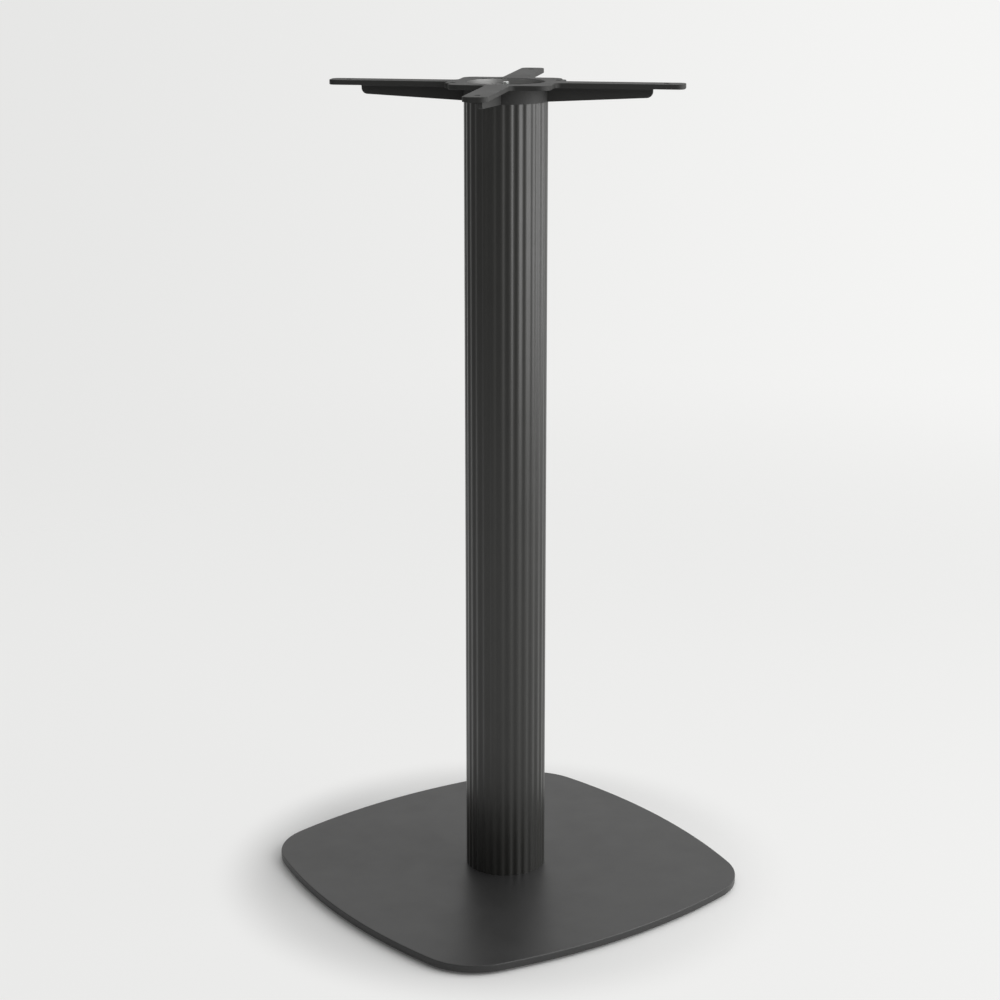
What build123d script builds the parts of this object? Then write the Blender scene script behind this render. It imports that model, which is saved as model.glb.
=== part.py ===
"""Bar table base: a steel foot plate, a reeded aluminium column and a cast top spider, held by one tie rod."""
import os
from math import atan2, cos, degrees, hypot, pi, radians, sin, sqrt, tan

from build123d import *

# Whole base, in millimetres, standing on Z = 0 with the column's axis on Z
overall_height = 1108.0
fit_gap = 0.3
thread_gap = 0.05

# Foot plate
plate_width = 550.0
plate_side_radius = 825.0
plate_corner_radius = 88.0
plate_thickness = 10.0
plate_top_chamfer = 1.2
plate_bottom_chamfer = 0.8

# Moulded glides pressed into the underside of the foot plate
glide_count = 4
glide_diameter = 28.0
glide_projection = 4.0
glide_edge_radius = 1.5
glide_stem_diameter = 8.0
glide_stem_length = 7.0
glide_stem_relief = 0.8
glide_corner_inset = 48.0

# Reeded column
column_diameter = 110.0
column_wall = 4.2
reed_count = 30
reed_depth = 1.2
reed_share = 0.56

# Centring disc inside the column's foot, with its countersunk screws
disc_thickness = 10.0
disc_chamfer = 1.0
disc_screw_count = 4
disc_screw_circle = 64.0
screw_diameter = 5.0
screw_length = 16.0
screw_head_diameter = 9.6
screw_socket_width = 3.0
screw_socket_depth = 1.8
screw_hole_relief = 1.0

# Tie rod with its nuts and top washer
rod_diameter = 8.0
rod_end_chamfer = 0.8
rod_bottom_recess = 0.5
rod_top_recess = 0.3
nut_width = 13.0
nut_height = 6.5
nut_chamfer_angle = 30.0
washer_diameter = 24.0
washer_thickness = 2.0
washer_hole = 8.4

# Top spider: hub, collar, four T-section arms and the fixing holes
spider_depth = 25.5
arm_count = 4
arm_reach = 234.0
arm_width = 32.0
arm_thickness = 6.5
arm_tip_radius = 10.0
web_thickness = 6.0
web_end_inset = 42.0
web_end_depth = 18.4
web_end_radius = 8.0
web_fillet = 2.5
hub_margin = 12.0
hub_corner_radius = 17.0
hub_arm_fillet = 8.0
collar_wall = 4.0
floor_thickness = 7.0
floor_hole = 9.0
spigot_length = 12.0
spigot_wall = 5.0
lug_arms = (1, 3)
lug_width = 25.0
lug_projection = 7.0
lug_corner_radius = 4.5
lug_fillet = 2.0
lug_hole = 8.5
lug_hole_inset = 9.0
tip_hole = 8.5
tip_hole_inset = 25.0
spider_edge_radius = 0.8

# Heights and radii worked out from the sizes above
plate_bottom = glide_projection
plate_top = plate_bottom + plate_thickness
spider_top = overall_height
collar_bottom = spider_top - spider_depth
column_length = collar_bottom - plate_top
column_bore = column_diameter - 2 * (reed_depth + column_wall)
floor_top = collar_bottom + floor_thickness
arm_bottom = spider_top - arm_thickness
web_reach = arm_reach - web_end_inset
collar_bore = column_diameter - 2 * collar_wall
hub_width = column_diameter + 2 * hub_margin
disc_top = plate_top + disc_thickness
diagonal = 45.0


def bowed_square(width, side_radius, corner_radius):
    """Square outline with four outward-bowed sides and rounded corners."""
    centre = width / 2 - side_radius
    corner = (centre + sqrt(2 * side_radius**2 - centre**2)) / 2
    bow = width / 2 - corner
    with BuildSketch() as outline:
        with BuildLine():
            for turn in range(4):
                start = Vector(corner, -corner).rotate(Axis.Z, 90 * turn)
                end = Vector(corner, corner).rotate(Axis.Z, 90 * turn)
                SagittaArc(start, end, -bow)
        make_face()
        fillet(outline.vertices(), corner_radius)
    return outline.sketch


def corner_tip_distance():
    """Distance from the axis to the rounded corner of the foot plate, along the diagonal."""
    centre = plate_width / 2 - plate_side_radius
    inner_radius = plate_side_radius - plate_corner_radius
    corner_centre = (centre + sqrt(2 * inner_radius**2 - centre**2)) / 2
    return corner_centre * sqrt(2) + plate_corner_radius


glide_circle_radius = corner_tip_distance() - glide_corner_inset


def make_foot_plate():
    """Flat cut plate with a tapped centre, tapped disc-screw holes and blind holes for the glides."""
    with BuildPart() as plate:
        with BuildSketch(Plane.XY.offset(plate_bottom)):
            add(bowed_square(plate_width, plate_side_radius, plate_corner_radius))
        extrude(amount=plate_thickness)
        chamfer(plate.faces().sort_by(Axis.Z)[-1].edges(), plate_top_chamfer)
        chamfer(plate.faces().sort_by(Axis.Z)[0].edges(), plate_bottom_chamfer)
        with BuildSketch(Plane.XY.offset(plate_bottom)):
            Circle(rod_diameter / 2)
        extrude(amount=plate_thickness, mode=Mode.SUBTRACT)
        tapped_depth = screw_length - disc_thickness + screw_hole_relief
        with BuildSketch(Plane.XY.offset(plate_top)):
            with PolarLocations(disc_screw_circle / 2, disc_screw_count):
                Circle(screw_diameter / 2)
        extrude(amount=-tapped_depth, mode=Mode.SUBTRACT)
        with BuildSketch(Plane.XY.offset(plate_bottom)):
            with PolarLocations(glide_circle_radius, glide_count, start_angle=diagonal):
                Circle(glide_stem_diameter / 2 + thread_gap)
        extrude(amount=glide_stem_length + glide_stem_relief, mode=Mode.SUBTRACT)
    return plate.part


def make_glide():
    """Round glide with a rounded lower edge and a stem with a lead-in chamfer."""
    radius = glide_diameter / 2
    stem_radius = glide_stem_diameter / 2
    stem_top = glide_projection + glide_stem_length
    lead_in = stem_radius / 4
    with BuildPart() as glide:
        with BuildSketch(Plane.XZ):
            with BuildLine():
                Polyline(
                    (0, 0),
                    (radius, 0),
                    (radius, glide_projection),
                    (stem_radius, glide_projection),
                    (stem_radius, stem_top - lead_in),
                    (stem_radius - lead_in, stem_top),
                    (0, stem_top),
                    close=True,
                )
            make_face()
        revolve(axis=Axis.Z)
        lower_edge = glide.edges().filter_by(GeomType.CIRCLE).group_by(Axis.Z)[0]
        fillet(lower_edge, glide_edge_radius)
    return glide.part


def reeded_outline():
    """Outline of the column: convex reeds joined by concave valleys that run into them tangentially."""
    pitch = 2 * pi / reed_count
    crest_radius = column_diameter / 2
    valley_radius = crest_radius - reed_depth
    half_reed = reed_share * pitch / 2
    joint_radius = crest_radius - reed_share * reed_depth

    def polar(radius, angle):
        return Vector(radius * cos(angle), radius * sin(angle))

    with BuildSketch() as outline:
        with BuildLine():
            for reed in range(reed_count):
                middle = reed * pitch
                start = polar(joint_radius, middle - half_reed)
                end = polar(joint_radius, middle + half_reed)
                next_start = polar(joint_radius, middle + pitch - half_reed)
                ThreePointArc(start, polar(crest_radius, middle), end)
                ThreePointArc(end, polar(valley_radius, middle + pitch / 2), next_start)
        make_face()
    return outline.sketch


def make_column():
    """Extruded tube with a reeded outside and a round bore."""
    with BuildPart() as column:
        with BuildSketch(Plane.XY.offset(plate_top)):
            add(reeded_outline())
            Circle(column_bore / 2, mode=Mode.SUBTRACT)
        extrude(amount=column_length)
    return column.part


def make_centring_disc():
    """Turned disc that locates the column's bore, with a centre hole and countersunk screw holes."""
    radius = column_bore / 2 - fit_gap
    with BuildPart() as disc:
        with BuildSketch(Plane.XY.offset(plate_top)):
            Circle(radius)
            Circle(rod_diameter / 2 + fit_gap, mode=Mode.SUBTRACT)
        extrude(amount=disc_thickness)
        outer_edge = disc.edges().filter_by(GeomType.CIRCLE).group_by(Axis.Z)[-1].sort_by(SortBy.RADIUS)[-1]
        chamfer(outer_edge, disc_chamfer)
        with Locations(Plane.XY.offset(disc_top)):
            with PolarLocations(disc_screw_circle / 2, disc_screw_count):
                CounterSinkHole(
                    screw_diameter / 2 + fit_gap,
                    screw_head_diameter / 2 + fit_gap,
                    depth=disc_thickness,
                    counter_sink_angle=90,
                )
    return disc.part


def make_disc_screw():
    """Countersunk socket screw with its head flush with the disc."""
    head_radius = screw_head_diameter / 2
    shank_radius = screw_diameter / 2 - thread_gap
    head_height = head_radius - shank_radius
    tip = disc_top - screw_length
    with BuildPart() as screw:
        with BuildSketch(Plane.XZ):
            with BuildLine():
                Polyline(
                    (0, tip),
                    (shank_radius, tip),
                    (shank_radius, disc_top - head_height),
                    (head_radius, disc_top),
                    (0, disc_top),
                    close=True,
                )
            make_face()
        revolve(axis=Axis.Z)
        with BuildSketch(Plane.XY.offset(disc_top)):
            RegularPolygon(screw_socket_width / 2, 6, major_radius=False)
        extrude(amount=-screw_socket_depth, mode=Mode.SUBTRACT)
    return screw.part


def make_tie_rod():
    """Threaded rod from the tapped foot plate up to just below the spider's top face."""
    bottom = plate_bottom + rod_bottom_recess
    top = spider_top - rod_top_recess
    with BuildPart() as rod:
        with BuildSketch(Plane.XY.offset(bottom)):
            Circle(rod_diameter / 2 - thread_gap)
        extrude(amount=top - bottom)
        chamfer(rod.edges().filter_by(GeomType.CIRCLE), rod_end_chamfer)
    return rod.part


def make_nut(seat):
    """Hexagon nut standing on the height of its seat, chamfered on both faces."""
    corner_radius = nut_width / sqrt(3)
    flat_radius = nut_width / 2
    drop = (corner_radius - flat_radius) * tan(radians(nut_chamfer_angle))
    top = seat + nut_height
    with BuildPart() as nut:
        with BuildSketch(Plane.XY.offset(seat)):
            RegularPolygon(flat_radius, 6, major_radius=False)
            Circle(rod_diameter / 2, mode=Mode.SUBTRACT)
        extrude(amount=nut_height)
        with BuildSketch(Plane.XZ):
            with BuildLine():
                Polyline(
                    (0, seat),
                    (flat_radius, seat),
                    (corner_radius, seat + drop),
                    (corner_radius, top - drop),
                    (flat_radius, top),
                    (0, top),
                    close=True,
                )
            make_face()
        revolve(axis=Axis.Z, mode=Mode.INTERSECT)
    return nut.part


def make_washer():
    """Flat washer on the floor of the spider's hub."""
    with BuildPart() as washer:
        with BuildSketch(Plane.XY.offset(floor_top)):
            Circle(washer_diameter / 2)
            Circle(washer_hole / 2, mode=Mode.SUBTRACT)
        extrude(amount=washer_thickness)
    return washer.part


def arm_point(arm, along, across):
    """Point given along and across one arm, counted from the diagonal; across is positive to the arm's left."""
    turn = radians(diagonal + arm * 360 / arm_count)
    return Vector(along * cos(turn) - across * sin(turn), along * sin(turn) + across * cos(turn))


def lug_hole_place():
    """Centre of the lug's hole, along and across its arm."""
    return hub_width / 2 + lug_projection - lug_hole_inset, (arm_width + lug_width) / 2


def spider_top_outline():
    """Outline of the spider's flat top: hub, four arms and a lug beside the root of two opposite arms."""
    lug_end = hub_width / 2 + lug_projection
    lug_side = arm_width / 2 + lug_width
    arm_corners = (
        (hub_width / 2, -arm_width / 2, hub_arm_fillet),
        (arm_reach, arm_width / 2, arm_tip_radius),
        (arm_reach, -arm_width / 2, arm_tip_radius),
    )
    plain_corners = ((hub_width / 2, arm_width / 2, hub_arm_fillet),)
    lug_corners = (
        (lug_end, lug_side, lug_corner_radius),
        (lug_end, arm_width / 2, lug_fillet),
        (hub_width / 2, lug_side, lug_fillet),
    )
    with BuildSketch() as flat:
        RectangleRounded(hub_width, hub_width, hub_corner_radius, rotation=diagonal)
        for arm in range(arm_count):
            turn = diagonal + arm * 360 / arm_count
            with Locations(arm_point(arm, arm_reach / 2, 0)):
                Rectangle(arm_reach, arm_width, rotation=turn)
            if arm in lug_arms:
                with Locations(arm_point(arm, lug_end / 2, lug_side / 2)):
                    Rectangle(lug_end, lug_side, rotation=turn)
        for arm in range(arm_count):
            for along, across, radius in arm_corners + (lug_corners if arm in lug_arms else plain_corners):
                corner = flat.vertices().sort_by_distance(arm_point(arm, along, across))[0]
                fillet(corner, radius)
    return flat.sketch


def make_web():
    """Upright web under the arm that points along +X, from the axis to its rounded outer end."""
    root = column_diameter / 2 - collar_wall / 2
    with BuildPart() as web:
        with BuildSketch(Plane.XZ.offset(-web_thickness / 2)) as side:
            with BuildLine():
                Polyline(
                    (root, arm_bottom + arm_thickness / 2),
                    (root, collar_bottom),
                    (column_diameter / 2, collar_bottom),
                    (web_reach, spider_top - web_end_depth),
                    (web_reach, arm_bottom + arm_thickness / 2),
                    close=True,
                )
            make_face()
            outer_corner = side.vertices().sort_by_distance((web_reach, 0, spider_top - web_end_depth))[0]
            fillet(outer_corner, web_end_radius)
        extrude(amount=web_thickness)
        fillet([edge for edge in web.edges() if is_web_rim(edge, root)], spider_edge_radius)
    return web.part


def is_web_rim(edge, root):
    """True for the lower and outer edges of a web's two sides."""
    start, middle, end = edge @ 0, edge @ 0.5, edge @ 1
    on_side = min(abs(start.Y), abs(middle.Y), abs(end.Y)) > web_thickness / 2 - fit_gap
    return on_side and middle.X > root + fit_gap and middle.Z < arm_bottom


def make_spider():
    """Cast spider: flat top with arms and lugs, collar and floor, spigot, webs and holes."""
    lug_holes = [arm_point(arm, *lug_hole_place()) for arm in lug_arms]
    tip_holes = [arm_point(arm, arm_reach - tip_hole_inset, 0) for arm in range(arm_count)]
    web = make_web()
    with BuildPart() as spider:
        with BuildSketch(Plane.XY.offset(arm_bottom)):
            add(spider_top_outline())
        extrude(amount=arm_thickness)
        flat_faces = spider.faces().filter_by(Axis.Z)
        fillet(flat_faces.edges(), spider_edge_radius)
        with BuildSketch(Plane.XY.offset(collar_bottom)):
            Circle(column_diameter / 2)
        extrude(amount=spider_depth)
        for arm in range(arm_count):
            add(web.rotate(Axis.Z, diagonal + arm * 360 / arm_count))
        with BuildSketch(Plane.XY.offset(floor_top)):
            Circle(collar_bore / 2)
        extrude(amount=spider_top - floor_top, mode=Mode.SUBTRACT)
        rim = spider.edges().filter_by(GeomType.CIRCLE).filter_by(lambda e: abs(e.radius - collar_bore / 2) < fit_gap)
        fillet(rim.group_by(Axis.Z)[-1], spider_edge_radius)
        with BuildSketch(Plane.XY.offset(collar_bottom)):
            Circle(column_bore / 2 - fit_gap)
            Circle(column_bore / 2 - fit_gap - spigot_wall, mode=Mode.SUBTRACT)
        extrude(amount=-spigot_length)
        with BuildSketch(Plane.XY.offset(collar_bottom)):
            Circle(floor_hole / 2)
        extrude(amount=floor_thickness, mode=Mode.SUBTRACT)
        with BuildSketch(Plane.XY.offset(arm_bottom)):
            with Locations(lug_holes):
                Circle(lug_hole / 2)
            with Locations(tip_holes):
                Circle(tip_hole / 2)
        extrude(amount=arm_thickness, mode=Mode.SUBTRACT)
        roots = [edge for edge in spider.edges().filter_by(GeomType.LINE) if is_web_root(edge)]
        fillet(roots, web_fillet)
    return spider.part


def is_web_root(edge):
    """True for the long edge where a web's side meets the underside of its arm."""
    start, middle, end = edge @ 0, edge @ 0.5, edge @ 1
    level = max(abs(point.Z - arm_bottom) for point in (start, middle, end)) < fit_gap
    turn = (degrees(atan2(middle.Y, middle.X)) - diagonal + 45) % 90 - 45
    reach = hypot(middle.X, middle.Y)
    beside_web = abs(abs(reach * sin(radians(turn))) - web_thickness / 2) < fit_gap
    return level and beside_web and reach > column_diameter / 2


def place_on_circle(solid, radius, count, start_angle):
    """Copies of a solid modelled on the axis, set on a circle about it."""
    copies = []
    for index in range(count):
        angle = radians(start_angle + index * 360 / count)
        copies.append(Pos(radius * cos(angle), radius * sin(angle), 0) * solid)
    return copies


def build():
    """Every piece by its name."""
    pieces = {
        "foot_plate": make_foot_plate(),
        "column": make_column(),
        "centring_disc": make_centring_disc(),
        "tie_rod": make_tie_rod(),
        "rod_lock_nut": make_nut(disc_top),
        "top_spider": make_spider(),
        "top_washer": make_washer(),
        "top_nut": make_nut(floor_top + washer_thickness),
    }
    glides = place_on_circle(make_glide(), glide_circle_radius, glide_count, diagonal)
    for number, glide in enumerate(glides, 1):
        pieces[f"glide_{number}"] = glide
    screws = place_on_circle(make_disc_screw(), disc_screw_circle / 2, disc_screw_count, 0)
    for number, screw in enumerate(screws, 1):
        pieces[f"disc_screw_{number}"] = screw
    return pieces


if __name__ == "__main__":
    os.makedirs("parts", exist_ok=True)
    for name, solid in build().items():
        export_step(solid, f"parts/{name}.step")
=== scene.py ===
"""Bar table base: powder-coated foot plate, reeded column, cast spider and fittings, in a pale studio."""
import math

import bmesh
import bpy
from bpy.props import FloatProperty, FloatVectorProperty, IntProperty, PointerProperty
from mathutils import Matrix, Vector


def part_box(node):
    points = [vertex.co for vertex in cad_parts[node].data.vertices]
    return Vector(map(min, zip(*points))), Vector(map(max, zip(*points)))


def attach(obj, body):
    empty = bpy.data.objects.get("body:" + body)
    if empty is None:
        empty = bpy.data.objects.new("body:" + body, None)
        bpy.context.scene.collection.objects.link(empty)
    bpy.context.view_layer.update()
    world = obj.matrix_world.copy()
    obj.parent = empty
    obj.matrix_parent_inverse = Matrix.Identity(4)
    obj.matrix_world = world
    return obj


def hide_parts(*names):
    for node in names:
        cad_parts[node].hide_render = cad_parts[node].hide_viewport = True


bl_info = {
    "name": "Bar Table Base",
    "version": (1, 0, 0),
    "blender": (4, 5, 0),
    "location": "View3D > Sidebar > Table Base",
    "description": "Finishes and smooth pieces for a bar table base, with a pale studio round it",
    "category": "Object",
}

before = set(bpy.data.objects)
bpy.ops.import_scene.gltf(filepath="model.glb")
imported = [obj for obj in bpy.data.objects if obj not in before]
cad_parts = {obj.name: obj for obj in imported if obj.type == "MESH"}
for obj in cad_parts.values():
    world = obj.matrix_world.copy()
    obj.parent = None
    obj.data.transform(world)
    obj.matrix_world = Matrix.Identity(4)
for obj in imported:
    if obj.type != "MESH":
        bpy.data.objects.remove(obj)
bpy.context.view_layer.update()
MM = 0.001
BODY = "root"
NEAR = 0.01 * MM  # two places closer than this count as one

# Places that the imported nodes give
PLATE_LOW, PLATE_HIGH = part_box("foot_plate")
COLUMN_LOW, COLUMN_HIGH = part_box("column")
ROD_LOW, ROD_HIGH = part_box("tie_rod")
GLIDE_LOW, GLIDE_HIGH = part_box("glide_1")
SCREW_LOW, SCREW_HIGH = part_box("disc_screw_1")


def linear(hex_colour):
    """Linear colour for an sRGB hex value such as "3c3d3b"."""
    channels = [int(hex_colour[i:i + 2], 16) / 255 for i in (0, 2, 4)]
    return [c / 12.92 if c <= 0.04045 else ((c + 0.055) / 1.055) ** 2.4 for c in channels]


class ColumnSettings(bpy.types.PropertyGroup):
    """Sizes and colour of the reeded column"""

    reed_count: IntProperty(name="Reeds", description="Convex reeds round the column", default=30, min=8)
    reed_steps: IntProperty(
        name="Steps per reed", description="Facets across one reed and its valley", default=16, min=8,
        step=4)
    diameter: FloatProperty(
        name="Diameter", description="Across the crests of the reeds", default=110 * MM, unit="LENGTH")
    reed_depth: FloatProperty(
        name="Reed depth", description="From crest to valley", default=1.2 * MM, unit="LENGTH",
        precision=4)
    reed_share: FloatProperty(
        name="Crest share", description="Share of the pitch that the convex arc takes", default=0.56,
        subtype="FACTOR")
    bore: FloatProperty(
        name="Bore", description="Diameter of the round bore", default=99.2 * MM, unit="LENGTH",
        precision=4)
    colour: FloatVectorProperty(
        name="Coat colour", description="Powder coat of the column", subtype="COLOR",
        default=linear("282826"))
    gloss_range: FloatVectorProperty(
        name="Roughness", description="Least and most roughness of the coat", size=2, default=(0.28, 0.34))


class PlateSettings(bpy.types.PropertyGroup):
    """Sizes and colour of the foot plate"""

    width: FloatProperty(
        name="Width", description="Across two bowed sides", default=550 * MM, unit="LENGTH")
    side_radius: FloatProperty(
        name="Side radius", description="Radius of each bowed side", default=825 * MM, unit="LENGTH")
    corner_radius: FloatProperty(
        name="Corner radius", description="Radius of each corner", default=88 * MM, unit="LENGTH")
    top_edge: FloatProperty(
        name="Top edge", description="Softening of the upper edge", default=1.2 * MM, unit="LENGTH",
        precision=4)
    bottom_edge: FloatProperty(
        name="Bottom edge", description="Softening of the lower edge", default=0.8 * MM, unit="LENGTH",
        precision=4)
    rod_gap: FloatProperty(
        name="Rod gap", description="Between the tie rod and its hole", default=0.05 * MM, unit="LENGTH",
        precision=4)
    screw_hole: FloatProperty(
        name="Screw holes", description="Diameter of the holes for the disc's screws", default=5 * MM,
        unit="LENGTH", precision=4)
    stem_hole: FloatProperty(
        name="Stem holes", description="Diameter of the holes for the glides' stems", default=8.1 * MM,
        unit="LENGTH", precision=4)
    stem_relief: FloatProperty(
        name="Stem relief", description="From a glide's stem to the end of its hole", default=0.8 * MM,
        unit="LENGTH", precision=4)
    colour: FloatVectorProperty(
        name="Coat colour", description="Powder coat of the foot plate", subtype="COLOR",
        default=linear("2a2a2a"))
    gloss_range: FloatVectorProperty(
        name="Roughness", description="Least and most roughness of the coat", size=2, default=(0.37, 0.43))


class SpiderSettings(bpy.types.PropertyGroup):
    """Colours of the cast spider and its machined recess"""

    colour: FloatVectorProperty(
        name="Coat colour", description="Powder coat of the spider", subtype="COLOR",
        default=linear("282827"))
    gloss_range: FloatVectorProperty(
        name="Roughness", description="Least and most roughness of the coat", size=2, default=(0.60, 0.67))
    shine: FloatProperty(
        name="Shine", description="Specular level of the coat", default=0.35, subtype="FACTOR")
    cast_grain: FloatProperty(
        name="Cast grain", description="Width of the casting's soft unevenness", default=5 * MM,
        unit="LENGTH")
    cast_height: FloatProperty(
        name="Cast height", description="Height of the casting's soft unevenness", default=0.12 * MM,
        unit="LENGTH", precision=5)
    bore: FloatProperty(
        name="Bore", description="Diameter of the machined recess in the hub", default=102 * MM,
        unit="LENGTH")
    bore_colour: FloatVectorProperty(
        name="Bore colour", description="Machined wall of the recess", subtype="COLOR",
        default=linear("9c9c9b"))


class FittingSettings(bpy.types.PropertyGroup):
    """Sizes and colours of the tie rod and the small fittings"""

    rod_chamfer: FloatProperty(
        name="Rod chamfer", description="Broken edge at both ends of the rod", default=0.8 * MM,
        unit="LENGTH", precision=4)
    thread_pitch: FloatProperty(
        name="Thread pitch", description="Pitch of the M8 thread", default=1.25 * MM, unit="LENGTH",
        precision=4)
    top_thread: FloatProperty(
        name="Top thread", description="Threaded length at the rod's top", default=40 * MM, unit="LENGTH")
    bottom_thread: FloatProperty(
        name="Bottom thread", description="Threaded length at the rod's foot", default=28 * MM,
        unit="LENGTH")
    zinc_colour: FloatVectorProperty(
        name="Zinc colour", description="Bright zinc plate", subtype="COLOR", default=linear("d2d3d2"))
    aluminium_colour: FloatVectorProperty(
        name="Aluminium colour", description="Turned bare aluminium", subtype="COLOR",
        default=linear("dcdddc"))
    polyamide_colour: FloatVectorProperty(
        name="Polyamide colour", description="Moulded black glides", subtype="COLOR",
        default=linear("1c1c1d"))


class StageSettings(bpy.types.PropertyGroup):
    """Camera, lights and background"""

    camera_distance: FloatProperty(
        name="Camera distance", description="From the column's axis, level", default=2.89, unit="LENGTH")
    camera_height: FloatProperty(
        name="Camera height", description="Above the floor", default=1.345, unit="LENGTH")
    camera_azimuth: FloatProperty(
        name="Camera azimuth", description="Turn about the column's axis", default=math.radians(-35.46),
        subtype="ANGLE")
    camera_pitch: FloatProperty(
        name="Camera pitch", description="Downward tilt of the view", default=math.radians(14.2),
        subtype="ANGLE")
    camera_yaw: FloatProperty(
        name="Camera yaw", description="Turn of the view off the axis", default=-0.00267, subtype="ANGLE")
    lens: FloatProperty(
        name="Lens", description="Focal length on a 36 mm sensor, in millimetres", default=79.24)
    lens_shift: FloatProperty(
        name="Lens shift", description="Upright shift, as a share of the frame", default=-0.05)
    background: FloatVectorProperty(
        name="Background", description="Colour of the studio wall", subtype="COLOR",
        default=linear("f0f0ef"))
    wall_left: FloatProperty(
        name="Wall at the left", description="Strength of the wall's colour to the camera's left",
        default=0.90)
    wall_right: FloatProperty(
        name="Wall at the right", description="Strength of the wall's colour to the camera's right",
        default=1.06)
    wall_turn: FloatProperty(
        name="Wall's turn", description="Sine of the angle off the view at which the wall stops changing",
        default=0.35)
    floor_colour: FloatVectorProperty(
        name="Floor", description="Colour of the studio floor", subtype="COLOR",
        default=linear("f0f0ef"))
    floor_fade: FloatVectorProperty(
        name="Floor's fade", description="Distances at which the floor starts to fade and is gone",
        size=2, default=(1.2, 3.5), unit="LENGTH")
    key_power: FloatProperty(
        name="Key light", description="Power of the soft box to the right, in watts", default=61)
    fill_power: FloatProperty(
        name="Overhead light", description="Power of the soft box above, in watts", default=14)
    room_strength: FloatProperty(
        name="Room light", description="Strength of the light from the studio walls", default=0.35)
    near_evenness: FloatProperty(
        name="Near evenness", description="Share of the floor's look that is free of shadow, at the object",
        default=0.05, subtype="FACTOR")
    far_evenness: FloatProperty(
        name="Far evenness", description="Share of the floor's look that is free of shadow, further out",
        default=0.85, subtype="FACTOR")
    evenness_reach: FloatVectorProperty(
        name="Evenness reach", description="Distances at which the evenness starts and stops to grow",
        size=2, default=(0.31, 0.42), unit="LENGTH")
    flag_colour: FloatVectorProperty(
        name="Flags", description="Dark nets to the left and behind the camera", subtype="COLOR",
        default=linear("1a1a1a"))
    flag_openness: FloatProperty(
        name="Flag openness", description="Share of the light that the nets let through", default=0.45,
        subtype="FACTOR")


def add_node(tree, kind, settings=None, values=None, links=None):
    """Adds a node, sets its properties and inputs, and links other nodes' outputs to it."""
    node = tree.nodes.new(kind)
    for name, value in (settings or {}).items():
        setattr(node, name, value)
    for name, value in (values or {}).items():
        node.inputs[name].default_value = value
    for name, source in (links or {}).items():
        tree.links.new(source, node.inputs[name])
    return node


def new_material(name):
    """Empty material with its node tree."""
    material = bpy.data.materials.new(name)
    material.use_nodes = True
    material.node_tree.nodes.clear()
    return material, material.node_tree


def frequency(real_size):
    """Texture scale that gives features of a real size, in metres, on Object coordinates."""
    return 1 / real_size


def wave_scale(spacing):
    """Wave texture's scale for rings or bands a real spacing apart, as one unit there holds 20 radians."""
    return 2 * math.pi / (20 * spacing)


def powder_coat(name, colour, gloss_range, shine=0.5, substrate_grain=0.0, substrate_height=0.0):
    """Polyester powder coat with a fine texture, sprayed and cured over metal.

    The cured grains leave a close, even nap of about 0.3 mm, drawn 0.8 mm wide so that it shows. It
    scatters the gloss into a soft satin that brightens at grazing angles. A slow drift in film thickness
    changes the gloss a little, and on a casting the skin beneath shows through as soft unevenness.
    """
    material, tree = new_material(name)
    place = add_node(tree, "ShaderNodeTexCoord").outputs["Object"]
    nap = add_node(
        tree, "ShaderNodeTexNoise", None,
        {"Scale": frequency(0.8 * MM), "Detail": 2.0, "Roughness": 0.6}, {"Vector": place})
    drift = add_node(
        tree, "ShaderNodeTexNoise", None,
        {"Scale": frequency(45 * MM), "Detail": 3.0, "Roughness": 0.5}, {"Vector": place})
    gloss = add_node(
        tree, "ShaderNodeMapRange", None,
        {"From Min": 0.3, "From Max": 0.7, "To Min": gloss_range[0], "To Max": gloss_range[1]},
        {"Value": drift.outputs["Fac"]})
    tint = add_node(
        tree, "ShaderNodeMapRange", None,
        {"From Min": 0.3, "From Max": 0.7, "To Min": 0.88, "To Max": 1.12}, {"Value": nap.outputs["Fac"]})
    pigment = add_node(
        tree, "ShaderNodeVectorMath", {"operation": "SCALE"}, {0: colour[:3]},
        {"Scale": tint.outputs["Result"]})
    bump = add_node(
        tree, "ShaderNodeBump", None, {"Strength": 0.35, "Distance": 0.04 * MM},
        {"Height": nap.outputs["Fac"]})
    normal = bump.outputs["Normal"]
    if substrate_grain:
        skin = add_node(
            tree, "ShaderNodeTexNoise", None,
            {"Scale": frequency(substrate_grain), "Detail": 2.0, "Roughness": 0.5}, {"Vector": place})
        under = add_node(
            tree, "ShaderNodeBump", None, {"Strength": 0.6, "Distance": substrate_height},
            {"Height": skin.outputs["Fac"], "Normal": normal})
        normal = under.outputs["Normal"]
    coat = add_node(
        tree, "ShaderNodeBsdfPrincipled", None, {"IOR": 1.5, "Specular IOR Level": shine},
        {"Base Color": pigment.outputs["Vector"], "Roughness": gloss.outputs["Result"], "Normal": normal})
    add_node(tree, "ShaderNodeOutputMaterial", None, None, {"Surface": coat.outputs["BSDF"]})
    return material


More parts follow.
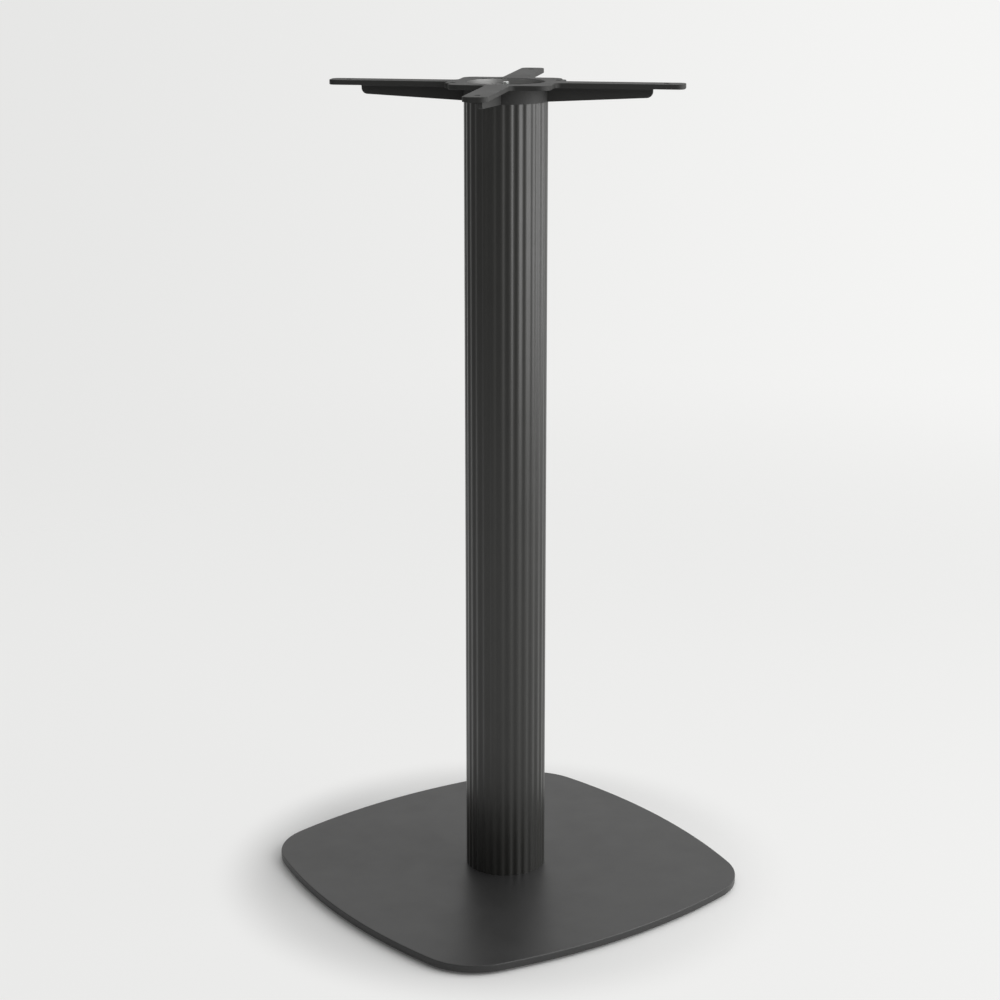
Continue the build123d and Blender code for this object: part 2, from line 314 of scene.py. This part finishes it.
def bare_bore(material, colour, radius):
    """Shows dull bare metal on the machined wall of a casting's bore, which the powder hardly reaches.

    The wall is told by its distance from the axis and by its upright faces. Turning leaves it matt.
    """
    margin = 0.4 * MM
    most_tilt = 0.3
    tree = material.node_tree
    output = next(node for node in tree.nodes if node.type == "OUTPUT_MATERIAL")
    coat = output.inputs["Surface"].links[0].from_socket
    place = add_node(tree, "ShaderNodeTexCoord").outputs["Object"]
    level = add_node(
        tree, "ShaderNodeVectorMath", {"operation": "MULTIPLY"}, {1: (1, 1, 0)}, {0: place})
    away = add_node(
        tree, "ShaderNodeVectorMath", {"operation": "LENGTH"}, None, {0: level.outputs["Vector"]})
    on_wall = add_node(
        tree, "ShaderNodeMath", {"operation": "COMPARE"}, {1: radius, 2: margin},
        {0: away.outputs["Value"]})
    normal = add_node(tree, "ShaderNodeNewGeometry").outputs["True Normal"]
    facing = add_node(tree, "ShaderNodeSeparateXYZ", None, None, {"Vector": normal})
    upright = add_node(
        tree, "ShaderNodeMath", {"operation": "COMPARE"}, {1: 0.0, 2: most_tilt}, {0: facing.outputs["Z"]})
    machined = add_node(
        tree, "ShaderNodeMath", {"operation": "MULTIPLY"}, None,
        {0: on_wall.outputs["Value"], 1: upright.outputs["Value"]})
    bare = add_node(
        tree, "ShaderNodeBsdfPrincipled", None,
        {"Base Color": (*colour[:3], 1), "Metallic": 1.0, "Roughness": 0.43})
    both = add_node(
        tree, "ShaderNodeMixShader", None, None,
        {"Fac": machined.outputs["Value"], 1: coat, 2: bare.outputs["BSDF"]})
    tree.links.new(both.outputs["Shader"], output.inputs["Surface"])


def bright_zinc(colour):
    """Electroplated zinc with a clear passivate, as on threaded rod and nuts.

    A thin bright metal skin over drawn or turned steel: fairly sharp reflections, with a patchy haze
    a few millimetres across where the passivate dried.
    """
    material, tree = new_material("bright_zinc_plate")
    place = add_node(tree, "ShaderNodeTexCoord").outputs["Object"]
    haze = add_node(
        tree, "ShaderNodeTexNoise", None, {"Scale": frequency(3 * MM), "Detail": 4.0}, {"Vector": place})
    gloss = add_node(
        tree, "ShaderNodeMapRange", None,
        {"From Min": 0.3, "From Max": 0.7, "To Min": 0.22, "To Max": 0.38}, {"Value": haze.outputs["Fac"]})
    plate = add_node(
        tree, "ShaderNodeBsdfPrincipled", None, {"Base Color": (*colour[:3], 1), "Metallic": 1.0},
        {"Roughness": gloss.outputs["Result"]})
    add_node(tree, "ShaderNodeOutputMaterial", None, None, {"Surface": plate.outputs["BSDF"]})
    return material


def turned_aluminium(colour):
    """Bare aluminium faced and turned on a lathe.

    The tool leaves fine rings about the axis, 0.2 mm apart and drawn 0.8 mm apart so that they show.
    """
    material, tree = new_material("turned_aluminium")
    place = add_node(tree, "ShaderNodeTexCoord").outputs["Object"]
    rings = add_node(
        tree, "ShaderNodeTexWave",
        {"wave_type": "RINGS", "rings_direction": "Z", "wave_profile": "TRI"},
        {"Scale": wave_scale(0.8 * MM), "Distortion": 0.0, "Detail": 0.0}, {"Vector": place})
    bump = add_node(
        tree, "ShaderNodeBump", None, {"Strength": 0.4, "Distance": 0.02 * MM},
        {"Height": rings.outputs["Fac"]})
    metal = add_node(
        tree, "ShaderNodeBsdfPrincipled", None,
        {"Base Color": (*colour[:3], 1), "Metallic": 1.0, "Roughness": 0.3},
        {"Normal": bump.outputs["Normal"]})
    add_node(tree, "ShaderNodeOutputMaterial", None, None, {"Surface": metal.outputs["BSDF"]})
    return material


def moulded_polyamide(colour):
    """Injection-moulded black polyamide from a spark-eroded mould.

    The mould gives a matt, sandy skin of about 0.2 mm grain, drawn 0.5 mm wide so that it shows.
    """
    material, tree = new_material("moulded_polyamide")
    place = add_node(tree, "ShaderNodeTexCoord").outputs["Object"]
    sand = add_node(
        tree, "ShaderNodeTexNoise", None, {"Scale": frequency(0.5 * MM), "Detail": 2.0}, {"Vector": place})
    bump = add_node(
        tree, "ShaderNodeBump", None, {"Strength": 0.4, "Distance": 0.03 * MM},
        {"Height": sand.outputs["Fac"]})
    plastic = add_node(
        tree, "ShaderNodeBsdfPrincipled", None,
        {"Base Color": (*colour[:3], 1), "Roughness": 0.52, "IOR": 1.53},
        {"Normal": bump.outputs["Normal"]})
    add_node(tree, "ShaderNodeOutputMaterial", None, None, {"Surface": plastic.outputs["BSDF"]})
    return material


def dress(obj, material):
    """Gives a piece one material all over."""
    obj.data.materials.clear()
    obj.data.materials.append(material)


def keep_piece(obj, material, node):
    """Finishes a modelled piece: its material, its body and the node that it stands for."""
    dress(obj, material)
    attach(obj, BODY)
    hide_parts(node)


def select_only(obj=None):
    """Deselects everything, then selects one object and makes it the active one."""
    bpy.ops.object.select_all(action="DESELECT")
    if obj:
        obj.select_set(True)
        bpy.context.view_layer.objects.active = obj


def select_where(obj, wanted):
    """In edit mode, selects the vertices whose place passes a test, with the edges and faces between."""
    mesh = bmesh.from_edit_mesh(obj.data)
    mesh.select_mode = {"VERT"}
    for element in (*mesh.faces, *mesh.edges, *mesh.verts):
        element.select_set(False)
    for vertex in mesh.verts:
        if wanted(vertex.co):
            vertex.select_set(True)
    mesh.select_flush(True)
    bmesh.update_edit_mesh(obj.data)


def select_faces(obj, wanted):
    """In edit mode, selects the faces whose normal and centre pass a test."""
    bpy.ops.mesh.select_mode(type="FACE")
    mesh = bmesh.from_edit_mesh(obj.data)
    mesh.normal_update()
    for face in mesh.faces:
        face.select_set(wanted(face.normal, face.calc_center_median()))
    bmesh.update_edit_mesh(obj.data)


def smooth_by_angle(obj, degrees):
    """Leaves object mode with smooth shading, apart from edges sharper than the angle."""
    bpy.ops.object.mode_set(mode="OBJECT")
    select_only(obj)
    bpy.ops.object.shade_smooth_by_angle(angle=math.radians(degrees))


def apply_modifier(obj, kind, name, **settings):
    """Adds a modifier with its settings and applies it."""
    select_only(obj)
    modifier = obj.modifiers.new(name, kind)
    for key, value in settings.items():
        setattr(modifier, key, value)
    bpy.ops.object.modifier_apply(modifier=name)


def reed_radius(size, phase):
    """Radius of the column's outline at a place across one reed, from 0 at its crest to 1 in mid-valley.

    A convex arc and a concave arc meet at the share of the pitch and of the depth that the crest takes.
    """
    half_pitch = math.pi / size.reed_count
    crest = size.diameter / 2
    valley = crest - size.reed_depth
    joint = crest - size.reed_share * size.reed_depth
    split = size.reed_share * half_pitch
    angle = phase * half_pitch
    if angle <= split:
        chord, sagitta = joint * math.sin(split), crest - joint * math.cos(split)
        radius = (chord**2 + sagitta**2) / (2 * sagitta)
        centre = crest - radius
        return centre * math.cos(angle) + math.sqrt(radius**2 - (centre * math.sin(angle)) ** 2)
    chord, sagitta = joint * math.sin(half_pitch - split), joint * math.cos(half_pitch - split) - valley
    radius = (chord**2 + sagitta**2) / (2 * sagitta)
    centre = valley + radius
    beside = half_pitch - angle
    return centre * math.cos(beside) - math.sqrt(radius**2 - (centre * math.sin(beside)) ** 2)


def model_column(size):
    """Reeded tube: a ring shaped reed by reed, raised to full length and joined to its round bore."""
    around = size.reed_count * size.reed_steps
    height = COLUMN_HIGH.z - COLUMN_LOW.z
    middle = Vector((0, 0, COLUMN_LOW.z))
    select_only()
    bpy.ops.mesh.primitive_circle_add(vertices=around, radius=size.diameter / 2, location=middle)
    column = bpy.context.object
    column.name = "reeded_column"
    bpy.ops.object.transform_apply(location=True)
    bpy.ops.object.mode_set(mode="EDIT")

    pitch = 2 * math.pi / size.reed_count
    half_steps = size.reed_steps // 2

    def step_of(place):
        beyond = math.atan2(place.y, place.x) % pitch
        return round(min(beyond, pitch - beyond) / pitch * size.reed_steps)

    for step in range(1, half_steps + 1):
        share = reed_radius(size, step / half_steps) / (size.diameter / 2)
        select_where(column, lambda place: step_of(place) == step)
        bpy.ops.transform.resize(value=(share, share, 1), center_override=middle)
    bpy.ops.mesh.select_all(action="DESELECT")
    bpy.ops.mesh.primitive_circle_add(vertices=around, radius=size.bore / 2, location=middle)
    bpy.ops.mesh.select_all(action="SELECT")
    bpy.ops.mesh.extrude_edges_move(TRANSFORM_OT_translate={"value": (0, 0, height)})
    for level in (COLUMN_LOW.z, COLUMN_HIGH.z):
        select_where(column, lambda place: abs(place.z - level) < NEAR)
        bpy.ops.mesh.bridge_edge_loops()
    bpy.ops.mesh.select_all(action="SELECT")
    bpy.ops.mesh.normals_make_consistent(inside=False)
    smooth_by_angle(column, 30)
    return column


def cylinder_cutter(name, radius, low, high, places, sides=32):
    """One object with an upright cylinder at each place, to cut holes with."""
    select_only()
    depth = high - low
    bpy.ops.mesh.primitive_cylinder_add(
        vertices=sides, radius=radius, depth=depth, location=(*places[0], low + depth / 2))
    cutter = bpy.context.object
    cutter.name = name
    bpy.ops.object.transform_apply(location=True)
    bpy.ops.object.mode_set(mode="EDIT")
    for place in places[1:]:
        bpy.ops.mesh.select_all(action="DESELECT")
        bpy.ops.mesh.primitive_cylinder_add(
            vertices=sides, radius=radius, depth=depth, location=(*place, low + depth / 2))
    bpy.ops.object.mode_set(mode="OBJECT")
    return cutter


def cut(obj, cutter):
    """Takes the cutter's space out of a piece and deletes the cutter."""
    apply_modifier(obj, "BOOLEAN", "cut", operation="DIFFERENCE", solver="EXACT", object=cutter)
    bpy.data.objects.remove(cutter)


def quarter_turns(x, y):
    """The place and its three copies turned about the column's axis."""
    return [(x, y), (-y, x), (-x, -y), (y, -x)]


def model_foot_plate(size):
    """Bowed square plate: its outline spun arc by arc, then raised, holed and softened at its edges."""
    side_centre = size.width / 2 - size.side_radius
    reach = size.side_radius - size.corner_radius
    corner_centre = (side_centre + math.sqrt(2 * reach**2 - side_centre**2)) / 2
    half_side = math.atan2(corner_centre, corner_centre - side_centre)
    start = Vector((
        side_centre + size.side_radius * math.cos(half_side),
        -size.side_radius * math.sin(half_side),
        PLATE_LOW.z))
    select_only()
    bpy.ops.mesh.primitive_plane_add(size=size.width, location=start)
    plate = bpy.context.object
    plate.name = "bowed_foot_plate"
    bpy.ops.object.transform_apply(location=True)
    bpy.ops.object.mode_set(mode="EDIT")
    bpy.ops.mesh.select_mode(type="VERT")
    bpy.ops.mesh.select_all(action="SELECT")
    bpy.ops.mesh.merge(type="CENTER")
    side_centres = quarter_turns(side_centre, 0)
    corner_centres = quarter_turns(corner_centre, corner_centre)
    for side, corner in zip(side_centres, corner_centres):
        for centre, angle, steps in ((side, 2 * half_side, 40), (corner, math.pi / 2 - 2 * half_side, 24)):
            bpy.ops.mesh.spin(
                steps=steps, angle=-angle, center=(*centre, PLATE_LOW.z), axis=(0, 0, 1),
                use_auto_merge=False)
    bpy.ops.mesh.select_all(action="SELECT")
    bpy.ops.mesh.remove_doubles(threshold=NEAR)
    bpy.ops.mesh.edge_face_add()
    bpy.ops.mesh.extrude_region_move(TRANSFORM_OT_translate={"value": (0, 0, PLATE_HIGH.z - PLATE_LOW.z)})
    bpy.ops.mesh.select_all(action="SELECT")
    bpy.ops.mesh.normals_make_consistent(inside=False)
    for level, width in ((PLATE_HIGH.z, size.top_edge), (PLATE_LOW.z, size.bottom_edge)):
        select_where(plate, lambda place: abs(place.z - level) < NEAR)
        bpy.ops.mesh.bevel(offset=width, segments=4, profile=0.5, affect="EDGES")
        select_faces(plate, lambda normal, centre: abs(centre.z - level) < NEAR and abs(normal.z) > 0.999)
        bpy.ops.mesh.inset(thickness=0.5 * MM, depth=0)
    bpy.ops.object.mode_set(mode="OBJECT")
    under, over = PLATE_LOW.z - MM, PLATE_HIGH.z + MM
    rod_hole_radius = (ROD_HIGH.x - ROD_LOW.x) / 2 + size.rod_gap
    cut(plate, cylinder_cutter("rod_hole", rod_hole_radius, under, over, [(0, 0)]))
    screw_places = quarter_turns((SCREW_LOW.x + SCREW_HIGH.x) / 2, 0)
    cut(plate, cylinder_cutter("screw_holes", size.screw_hole / 2, SCREW_LOW.z - MM, over, screw_places))
    glide_place = (GLIDE_LOW.x + GLIDE_HIGH.x) / 2
    glide_places = quarter_turns(glide_place, glide_place)
    stem_end = GLIDE_HIGH.z + size.stem_relief
    cut(plate, cylinder_cutter("stem_holes", size.stem_hole / 2, under, stem_end, glide_places))
    smooth_by_angle(plate, 25)
    return plate


def model_tie_rod(size):
    """Rod with chamfered ends and a helical thread cut at both ends."""
    radius = (ROD_HIGH.x - ROD_LOW.x) / 2
    length = ROD_HIGH.z - ROD_LOW.z
    select_only()
    bpy.ops.mesh.primitive_cylinder_add(
        vertices=48, radius=radius, depth=length, location=(0, 0, ROD_LOW.z + length / 2))
    rod = bpy.context.object
    rod.name = "threaded_tie_rod"
    bpy.ops.object.transform_apply(location=True)
    bpy.ops.object.mode_set(mode="EDIT")
    for level in (ROD_LOW.z, ROD_HIGH.z):
        select_where(rod, lambda place: abs(place.z - level) < NEAR)
        bpy.ops.mesh.bevel(offset=size.rod_chamfer, segments=1, affect="EDGES")
    bpy.ops.object.mode_set(mode="OBJECT")
    grooves = (
        (ROD_LOW.z - 2 * size.thread_pitch, size.bottom_thread),
        (ROD_HIGH.z - size.top_thread, size.top_thread))
    for low, thread_length in grooves:
        cut(rod, thread_groove(size, radius, low, thread_length))
    smooth_by_angle(rod, 20)
    return rod


def thread_groove(size, radius, low, length):
    """Helical groove of a metric thread, as a cutter with closed ends.

    A trapezium is screwed about the axis. Its depth and its widths are shares of the pitch, and it
    reaches a little past the rod, so that the cut is clean.
    """
    pitch = size.thread_pitch
    depth, reach = 0.61 * pitch, 0.12 * pitch
    root_width, mouth_width = pitch / 4, 0.92 * pitch
    inside, outside = radius - depth, radius + reach
    middle = Vector(((inside + outside) / 2, 0, low))
    select_only()
    bpy.ops.mesh.primitive_plane_add(size=1, location=middle, rotation=(math.pi / 2, 0, 0))
    groove = bpy.context.object
    groove.name = "thread_groove"
    groove.scale = (outside - inside, mouth_width, 1)
    bpy.ops.object.transform_apply(location=True, rotation=True, scale=True)
    bpy.ops.object.mode_set(mode="EDIT")
    select_where(groove, lambda place: place.x < middle.x)
    bpy.ops.transform.resize(value=(1, 1, root_width / mouth_width), center_override=middle)
    bpy.ops.object.mode_set(mode="OBJECT")
    apply_modifier(
        groove, "SCREW", "helix", axis="Z", angle=2 * math.pi, screw_offset=pitch,
        iterations=math.ceil(length / pitch), steps=32, render_steps=32, use_merge_vertices=True)
    bpy.ops.object.mode_set(mode="EDIT")
    bpy.ops.mesh.select_all(action="SELECT")
    bpy.ops.mesh.fill_holes(sides=0)
    bpy.ops.mesh.select_all(action="SELECT")
    bpy.ops.mesh.normals_make_consistent(inside=False)
    bpy.ops.object.mode_set(mode="OBJECT")
    return groove


class TABLEBASE_OT_column(bpy.types.Operator):
    """Models the reeded column and coats it"""

    bl_idname = "tablebase.column"
    bl_label = "Column"

    def execute(self, context):
        size = context.scene.table_column
        coat = powder_coat("powder_coated_extrusion", size.colour, size.gloss_range)
        keep_piece(model_column(size), coat, "column")
        return {"FINISHED"}


class TABLEBASE_OT_foot_plate(bpy.types.Operator):
    """Models the bowed foot plate and coats it"""

    bl_idname = "tablebase.foot_plate"
    bl_label = "Foot plate"

    def execute(self, context):
        size = context.scene.table_plate
        coat = powder_coat("powder_coated_plate", size.colour, size.gloss_range)
        keep_piece(model_foot_plate(size), coat, "foot_plate")
        return {"FINISHED"}


class TABLEBASE_OT_spider(bpy.types.Operator):
    """Coats the cast spider"""

    bl_idname = "tablebase.spider"
    bl_label = "Spider"

    def execute(self, context):
        size = context.scene.table_spider
        coat = powder_coat(
            "powder_coated_casting", size.colour, size.gloss_range, size.shine, size.cast_grain,
            size.cast_height)
        bare_bore(coat, size.bore_colour, size.bore / 2)
        dress(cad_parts["top_spider"], coat)
        return {"FINISHED"}


class TABLEBASE_OT_tie_rod(bpy.types.Operator):
    """Models the threaded tie rod and plates it"""

    bl_idname = "tablebase.tie_rod"
    bl_label = "Tie rod"

    def execute(self, context):
        size = context.scene.table_fittings
        keep_piece(model_tie_rod(size), bright_zinc(size.zinc_colour), "tie_rod")
        return {"FINISHED"}


class TABLEBASE_OT_fasteners(bpy.types.Operator):
    """Plates the nuts, the washer and the disc's screws"""

    bl_idname = "tablebase.fasteners"
    bl_label = "Nuts, washer and screws"

    def execute(self, context):
        plate = bright_zinc(context.scene.table_fittings.zinc_colour)
        for name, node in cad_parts.items():
            if name.startswith("disc_screw") or name in ("rod_lock_nut", "top_nut", "top_washer"):
                dress(node, plate)
        return {"FINISHED"}


class TABLEBASE_OT_centring_disc(bpy.types.Operator):
    """Finishes the turned disc inside the column's foot"""

    bl_idname = "tablebase.centring_disc"
    bl_label = "Centring disc"

    def execute(self, context):
        metal = turned_aluminium(context.scene.table_fittings.aluminium_colour)
        dress(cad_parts["centring_disc"], metal)
        return {"FINISHED"}


class TABLEBASE_OT_glides(bpy.types.Operator):
    """Finishes the moulded glides under the foot plate"""

    bl_idname = "tablebase.glides"
    bl_label = "Glides"

    def execute(self, context):
        plastic = moulded_polyamide(context.scene.table_fittings.polyamide_colour)
        for name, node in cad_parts.items():
            if name.startswith("glide"):
                dress(node, plastic)
        return {"FINISHED"}


def aim(azimuth, elevation):
    """Direction from the object at an azimuth and elevation, counted as the camera's azimuth is."""
    level = math.cos(elevation)
    return Vector((math.sin(azimuth) * level, -math.cos(azimuth) * level, math.sin(elevation)))


def add_soft_box(name, azimuth, elevation, distance, target_height, width, height, power):
    """Rectangular soft box that faces the object."""
    target = Vector((0, 0, target_height))
    place = target + distance * aim(azimuth, elevation)
    select_only()
    bpy.ops.object.light_add(type="AREA", location=place)
    lamp = bpy.context.object
    lamp.name = name
    lamp.rotation_euler = (target - place).to_track_quat("-Z", "Y").to_euler()
    lamp.data.shape = "RECTANGLE"
    lamp.data.size = width
    lamp.data.size_y = height
    lamp.data.energy = power
    lamp.visible_camera = False


def seen_ray(tree):
    """Value that is 1 on camera, glossy and transmission rays and 0 on the rays that only carry light."""
    rays = add_node(tree, "ShaderNodeLightPath")
    direct = add_node(
        tree, "ShaderNodeMath", {"operation": "MAXIMUM"}, None,
        {0: rays.outputs["Is Camera Ray"], 1: rays.outputs["Is Glossy Ray"]})
    through = add_node(
        tree, "ShaderNodeMath", {"operation": "MAXIMUM"}, None,
        {0: direct.outputs["Value"], 1: rays.outputs["Is Transmission Ray"]})
    return through.outputs["Value"]


def studio_world(stage):
    """Room light from soft walls. Camera, glossy and transmission rays see the pale background."""
    world = bpy.data.worlds.new("studio_room")
    world.use_nodes = True
    tree = world.node_tree
    tree.nodes.clear()
    seen = seen_ray(tree)
    room = add_node(
        tree, "ShaderNodeBackground", None, {"Color": (1, 1, 1, 1), "Strength": stage.room_strength})
    right = aim(stage.camera_azimuth + math.pi / 2, 0)
    towards = add_node(tree, "ShaderNodeTexCoord").outputs["Generated"]
    rightness = add_node(
        tree, "ShaderNodeVectorMath", {"operation": "DOT_PRODUCT"}, {1: right}, {0: towards})
    lit = add_node(
        tree, "ShaderNodeMapRange", {"interpolation_type": "SMOOTHSTEP"},
        {
            "From Min": -stage.wall_turn, "From Max": stage.wall_turn,
            "To Min": stage.wall_left, "To Max": stage.wall_right,
        },
        {"Value": rightness.outputs["Value"]})
    wall = add_node(
        tree, "ShaderNodeBackground", None, {"Color": (*stage.background, 1)},
        {"Strength": lit.outputs["Result"]})
    either = add_node(
        tree, "ShaderNodeMixShader", None, None,
        {"Fac": seen, 1: room.outputs["Background"], 2: wall.outputs["Background"]})
    add_node(tree, "ShaderNodeOutputWorld", None, None, {"Surface": either.outputs["Shader"]})
    bpy.context.scene.world = world


def studio_floor(stage):
    """Pale floor that takes the shadow, evened out as a lit table is, and fades into the background."""
    material, tree = new_material("studio_floor")
    place = add_node(tree, "ShaderNodeTexCoord").outputs["Object"]
    away = add_node(tree, "ShaderNodeVectorMath", {"operation": "LENGTH"}, None, {0: place})
    fade = add_node(
        tree, "ShaderNodeMapRange", {"interpolation_type": "SMOOTHSTEP"},
        {"From Min": stage.floor_fade[0], "From Max": stage.floor_fade[1]},
        {"Value": away.outputs["Value"]})
    paper = add_node(
        tree, "ShaderNodeBsdfPrincipled", None,
        {"Base Color": (*stage.floor_colour, 1), "Roughness": 0.6, "Specular IOR Level": 0.3})
    glow = add_node(
        tree, "ShaderNodeEmission", None, {"Color": (*stage.background, 1), "Strength": 1.0})
    share = add_node(
        tree, "ShaderNodeMapRange", {"interpolation_type": "SMOOTHSTEP"},
        {
            "From Min": stage.evenness_reach[0], "From Max": stage.evenness_reach[1],
            "To Min": stage.near_evenness, "To Max": stage.far_evenness,
        },
        {"Value": away.outputs["Value"]})
    evenness = add_node(
        tree, "ShaderNodeMath", {"operation": "MULTIPLY"}, None,
        {0: seen_ray(tree), 1: share.outputs["Result"]})
    lit = add_node(
        tree, "ShaderNodeMixShader", None, None,
        {"Fac": evenness.outputs["Value"], 1: paper.outputs["BSDF"], 2: glow.outputs["Emission"]})
    open_air = add_node(tree, "ShaderNodeBsdfTransparent")
    blend = add_node(
        tree, "ShaderNodeMixShader", None, None,
        {"Fac": fade.outputs["Result"], 1: lit.outputs["Shader"], 2: open_air.outputs["BSDF"]})
    add_node(tree, "ShaderNodeOutputMaterial", None, None, {"Surface": blend.outputs["Shader"]})
    return material


def black_net(stage):
    """Black net of the studio's flags, which lets part of the light through."""
    material, tree = new_material("black_net")
    cloth = add_node(
        tree, "ShaderNodeBsdfPrincipled", None, {"Base Color": (*stage.flag_colour, 1), "Roughness": 0.9})
    open_air = add_node(tree, "ShaderNodeBsdfTransparent")
    net = add_node(
        tree, "ShaderNodeMixShader", None, {"Fac": stage.flag_openness},
        {1: cloth.outputs["BSDF"], 2: open_air.outputs["BSDF"]})
    add_node(tree, "ShaderNodeOutputMaterial", None, None, {"Surface": net.outputs["Shader"]})
    return material


def add_flag(name, azimuth, width, material):
    """Upright dark net that dims the pale room in the object's reflections on one side."""
    distance, height, middle = 3.6, 3, 1.2
    place = Vector((0, 0, middle)) + distance * aim(azimuth, 0)
    select_only()
    bpy.ops.mesh.primitive_plane_add(size=1, location=place, rotation=(math.pi / 2, 0, azimuth))
    flag = bpy.context.object
    flag.name = name
    flag.scale = (width, height, 1)
    bpy.ops.object.transform_apply(location=False, rotation=False, scale=True)
    dress(flag, material)
    flag.visible_camera = False


class TABLEBASE_OT_stage(bpy.types.Operator):
    """Adds the floor, the room light, the flags, the soft boxes and the camera"""

    bl_idname = "tablebase.stage"
    bl_label = "Studio"

    def execute(self, context):
        stage = context.scene.table_stage
        select_only()
        bpy.ops.mesh.primitive_circle_add(vertices=96, radius=4, fill_type="NGON")
        floor = bpy.context.object
        floor.name = "studio_floor"
        dress(floor, studio_floor(stage))
        studio_world(stage)
        azimuth = stage.camera_azimuth
        net = black_net(stage)
        add_flag("front_flag", azimuth - math.radians(20), 4.6, net)
        add_flag("left_flag", azimuth - math.radians(92), 6.0, net)
        add_soft_box(
            "key_soft_box", azimuth + math.radians(74), math.radians(16), distance=2.2, target_height=0.7,
            width=2.7, height=2.3, power=stage.key_power)
        add_soft_box(
            "overhead_soft_box", azimuth + math.radians(150), math.radians(65), distance=2.6,
            target_height=0.5, width=2.0, height=2.0, power=stage.fill_power)
        place = stage.camera_distance * aim(azimuth, 0) + Vector((0, 0, stage.camera_height))
        turn = (math.pi / 2 - stage.camera_pitch, 0, azimuth - stage.camera_yaw)
        select_only()
        bpy.ops.object.camera_add(location=place, rotation=turn)
        camera = bpy.context.object
        camera.name = "photo_camera"
        camera.data.sensor_width = 36
        camera.data.lens = stage.lens
        camera.data.shift_y = stage.lens_shift
        context.scene.camera = camera
        context.scene.view_settings.view_transform = "Standard"
        return {"FINISHED"}


PIECE_OPERATORS = (
    TABLEBASE_OT_column,
    TABLEBASE_OT_foot_plate,
    TABLEBASE_OT_spider,
    TABLEBASE_OT_tie_rod,
    TABLEBASE_OT_fasteners,
    TABLEBASE_OT_centring_disc,
    TABLEBASE_OT_glides,
    TABLEBASE_OT_stage,
)
SETTINGS = {
    "table_column": ColumnSettings,
    "table_plate": PlateSettings,
    "table_spider": SpiderSettings,
    "table_fittings": FittingSettings,
    "table_stage": StageSettings,
}


class TABLEBASE_PT_panel(bpy.types.Panel):
    """Sidebar panel with the settings and the operators of the table base"""

    bl_idname = "TABLEBASE_PT_panel"
    bl_label = "Bar Table Base"
    bl_space_type = "VIEW_3D"
    bl_region_type = "UI"
    bl_category = "Table Base"

    def draw(self, context):
        for name, group in SETTINGS.items():
            box = self.layout.box()
            for setting in group.__annotations__:
                box.prop(getattr(context.scene, name), setting)
        for operator in PIECE_OPERATORS:
            self.layout.operator(operator.bl_idname)


def register():
    for cls in (*SETTINGS.values(), *PIECE_OPERATORS, TABLEBASE_PT_panel):
        bpy.utils.register_class(cls)
    for name, group in SETTINGS.items():
        setattr(bpy.types.Scene, name, PointerProperty(type=group))


def unregister():
    for name in SETTINGS:
        delattr(bpy.types.Scene, name)
    for cls in (TABLEBASE_PT_panel, *reversed(PIECE_OPERATORS), *SETTINGS.values()):
        bpy.utils.unregister_class(cls)


def main():
    register()
    bpy.ops.tablebase.column()
    bpy.ops.tablebase.foot_plate()
    bpy.ops.tablebase.spider()
    bpy.ops.tablebase.tie_rod()
    bpy.ops.tablebase.fasteners()
    bpy.ops.tablebase.centring_disc()
    bpy.ops.tablebase.glides()
    bpy.ops.tablebase.stage()


if __name__ == "__main__":
    main()
